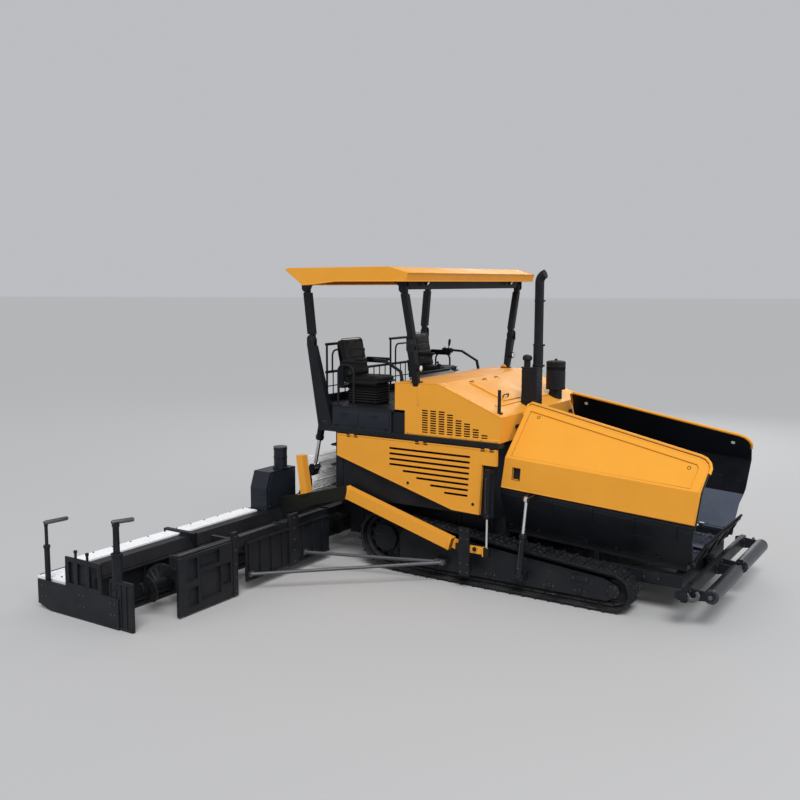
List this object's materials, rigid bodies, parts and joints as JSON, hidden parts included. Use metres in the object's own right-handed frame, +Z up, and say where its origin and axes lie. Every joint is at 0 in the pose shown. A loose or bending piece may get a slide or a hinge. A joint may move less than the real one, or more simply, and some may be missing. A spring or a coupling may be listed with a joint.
{
  "type": "asphalt paver",
  "caption": "Tracked asphalt paver with folded hopper wings, canopy, twin seats, augers and a wide screed on tow arms.",
  "frame": {"origin": "middle of the machine's length and width, on the ground under the tracks and the screed", "axes": "+X forwards to the push rollers, +Y to the machine's left along the screed, +Z up"},
  "size_m": [6.6, 9, 3.756],
  "materials": {
    "yellow_paint": "gloss",
    "black_paint": "satin",
    "blue_grey_paint": "satin",
    "worn_steel": "worn",
    "chrome": "polished",
    "galvanised_sheet": "satin",
    "white_tread": "matt",
    "grey_steel": "satin",
    "seat_vinyl": "matt"
  },
  "bodies": {
    "tractor": {"chassis": "black_paint", "tractor_body": "black_paint", "deck_frame": "black_paint", "side_boxes": "blue_grey_paint", "platform_floor": "black_paint", "engine_block": "grey_steel", "engine_hood": "yellow_paint", "track_right": "black_paint", "track_left": "black_paint", "track_frame_right": "black_paint", "track_frame_left": "black_paint", "track_wheels": "blue_grey_paint", "exhaust": "black_paint", "air_precleaner": "black_paint", "seat_stands": "black_paint", "seat_pad_right": "seat_vinyl", "seat_pad_left": "seat_vinyl", "control_desk": "black_paint", "guard_rails": "black_paint", "canopy_stands": "black_paint", "hopper_floor": "worn_steel", "front_frame": "black_paint", "tow_guides": "black_paint", "tow_blocks": "yellow_paint", "auger_frame": "black_paint", "auger_braces": "grey_steel", "tunnel_plates": "black_paint"},
    "wing_right": {"wing_right": "worn_steel", "wing_skin_right": "yellow_paint"},
    "wing_left": {"wing_left": "worn_steel", "wing_skin_left": "yellow_paint"},
    "hopper_barrel_right": {"hopper_barrel_right": "black_paint"},
    "hopper_barrel_left": {"hopper_barrel_left": "black_paint"},
    "hopper_rod_right": {"hopper_rod_right": "chrome"},
    "hopper_rod_left": {"hopper_rod_left": "chrome"},
    "apron": {"front_apron": "black_paint"},
    "push_beam": {"push_beam": "black_paint"},
    "push_roller_right": {"push_roller_right": "grey_steel"},
    "push_roller_left": {"push_roller_left": "grey_steel"},
    "screed": {"tow_arm_right": "yellow_paint", "tow_arm_left": "yellow_paint", "screed_main": "black_paint", "screed_outer_right": "black_paint", "screed_outer_left": "black_paint", "sole_plates": "worn_steel", "walkways": "white_tread", "heat_shield": "galvanised_sheet", "drive_boxes": "blue_grey_paint"},
    "end_gate_right": {"end_gate_right": "black_paint"},
    "end_gate_left": {"end_gate_left": "black_paint"},
    "lift_barrels": {"lift_barrels": "black_paint"},
    "lift_rods": {"lift_rods": "chrome"},
    "auger_right": {"auger_right": "worn_steel"},
    "auger_left": {"auger_left": "worn_steel"},
    "canopy_posts_rear": {"canopy_posts_rear": "black_paint"},
    "canopy_posts_front": {"canopy_posts_front": "black_paint"},
    "canopy": {"canopy_frame": "black_paint", "canopy_roof": "yellow_paint"},
    "side_door_right": {"side_door_right": "yellow_paint"},
    "side_door_left": {"side_door_left": "yellow_paint"}
  },
  "joints": [
    {"name": "wing_right_tip", "type": "hinge", "parent": "tractor", "child": "wing_right", "pos_m": [0.75, -0.83, 0.72], "axis": [0.9979, 0, -0.0645], "range_deg": [0, 36]},
    {"name": "wing_left_tip", "type": "hinge", "parent": "tractor", "child": "wing_left", "pos_m": [0.75, 0.83, 0.72], "axis": [-0.9979, 0, 0.0645], "range_deg": [0, 36]},
    {"name": "hopper_cylinder_right_swing", "type": "hinge", "parent": "tractor", "child": "hopper_barrel_right", "pos_m": [1.11205, -1.33, 0.25968], "axis": [0.9979, 0, -0.0645], "range_deg": [0, 20]},
    {"name": "hopper_cylinder_right_stroke", "type": "slide", "parent": "hopper_barrel_right", "child": "hopper_rod_right", "axis": [0.0644, 0.056, 0.9964], "range_m": [-0.34, 0]},
    {"name": "hopper_cylinder_left_swing", "type": "hinge", "parent": "tractor", "child": "hopper_barrel_left", "pos_m": [1.11205, 1.33, 0.25968], "axis": [-0.9979, 0, 0.0645], "range_deg": [0, 20]},
    {"name": "hopper_cylinder_left_stroke", "type": "slide", "parent": "hopper_barrel_left", "child": "hopper_rod_left", "axis": [0.0644, -0.056, 0.9964], "range_m": [-0.34, 0]},
    {"name": "apron_tip", "type": "hinge", "parent": "tractor", "child": "apron", "pos_m": [2.91, 0, 0.555], "axis": [0, 1, 0], "range_deg": [0, 45]},
    {"name": "push_beam_swing", "type": "hinge", "parent": "tractor", "child": "push_beam", "pos_m": [2.9, 0, 0.36], "axis": [0, 0, 1], "range_deg": [-4, 4]},
    {"name": "push_roller_right_spin", "type": "hinge", "parent": "push_beam", "child": "push_roller_right", "pos_m": [3.22, -0.64, 0.36], "axis": [0, 1, 0], "continuous": true},
    {"name": "push_roller_left_spin", "type": "hinge", "parent": "push_beam", "child": "push_roller_left", "pos_m": [3.22, 0.64, 0.36], "axis": [0, 1, 0], "continuous": true},
    {"name": "screed_lift", "type": "hinge", "parent": "tractor", "child": "screed", "pos_m": [0.336, 0, 0.484], "axis": [0, 1, 0], "range_deg": [0, 7.5]},
    {"name": "lift_cylinder_swing", "type": "hinge", "parent": "tractor", "child": "lift_barrels", "pos_m": [-1.96, 0, 1.9], "axis": [0, 1, 0], "range_deg": [-4.5, 0]},
    {"name": "lift_cylinder_stroke", "type": "slide", "parent": "lift_barrels", "child": "lift_rods", "axis": [-0.207, 0, -0.9783], "range_m": [-0.335, 0]},
    {"name": "end_gate_right_slide", "type": "slide", "parent": "screed", "child": "end_gate_right", "axis": [0, 0, 1], "range_m": [0, 0.15]},
    {"name": "auger_right_spin", "type": "hinge", "parent": "tractor", "child": "auger_right", "pos_m": [-1.95, -2.1, 0.35], "axis": [0, 1, 0], "continuous": true},
    {"name": "end_gate_left_slide", "type": "slide", "parent": "screed", "child": "end_gate_left", "axis": [0, 0, 1], "range_m": [0, 0.15]},
    {"name": "auger_left_spin", "type": "hinge", "parent": "tractor", "child": "auger_left", "pos_m": [-1.95, 2.1, 0.35], "axis": [0, 1, 0], "continuous": true},
    {"name": "canopy_fold", "type": "hinge", "parent": "tractor", "child": "canopy_posts_rear", "pos_m": [-1.79, 0, 2.85], "axis": [0, -1, 0], "range_deg": [0, 70]},
    {"name": "canopy_front_fold", "type": "hinge", "parent": "tractor", "child": "canopy_posts_front", "pos_m": [-0.333, 0, 2.85], "axis": [0, -1, 0], "range_deg": [0, 70]},
    {"name": "canopy_level", "type": "hinge", "parent": "canopy_posts_rear", "child": "canopy", "pos_m": [-1.79, 0, 3.52], "axis": [0, -1, 0], "range_deg": [-70, 0]},
    {"name": "side_door_right_swing", "type": "hinge", "parent": "tractor", "child": "side_door_right", "pos_m": [0, -1.25, 1.67], "axis": [-1, 0, 0], "range_deg": [0, 85]},
    {"name": "side_door_left_swing", "type": "hinge", "parent": "tractor", "child": "side_door_left", "pos_m": [0, 1.25, 1.67], "axis": [1, 0, 0], "range_deg": [0, 85]}
  ],
  "couplings": [
    {"joint": "hopper_cylinder_right_swing", "follows": "wing_right_tip", "ratio": 0.4708},
    {"joint": "hopper_cylinder_right_stroke", "follows": "wing_right_tip", "m_per_rad": -0.52696},
    {"joint": "hopper_cylinder_left_swing", "follows": "wing_left_tip", "ratio": 0.4708},
    {"joint": "hopper_cylinder_left_stroke", "follows": "wing_left_tip", "m_per_rad": -0.52696},
    {"joint": "lift_cylinder_swing", "follows": "screed_lift", "ratio": -0.4933},
    {"joint": "lift_cylinder_stroke", "follows": "screed_lift", "m_per_rad": -2.514},
    {"joint": "canopy_front_fold", "follows": "canopy_fold", "ratio": 1},
    {"joint": "canopy_level", "follows": "canopy_fold", "ratio": -1}
  ]
}
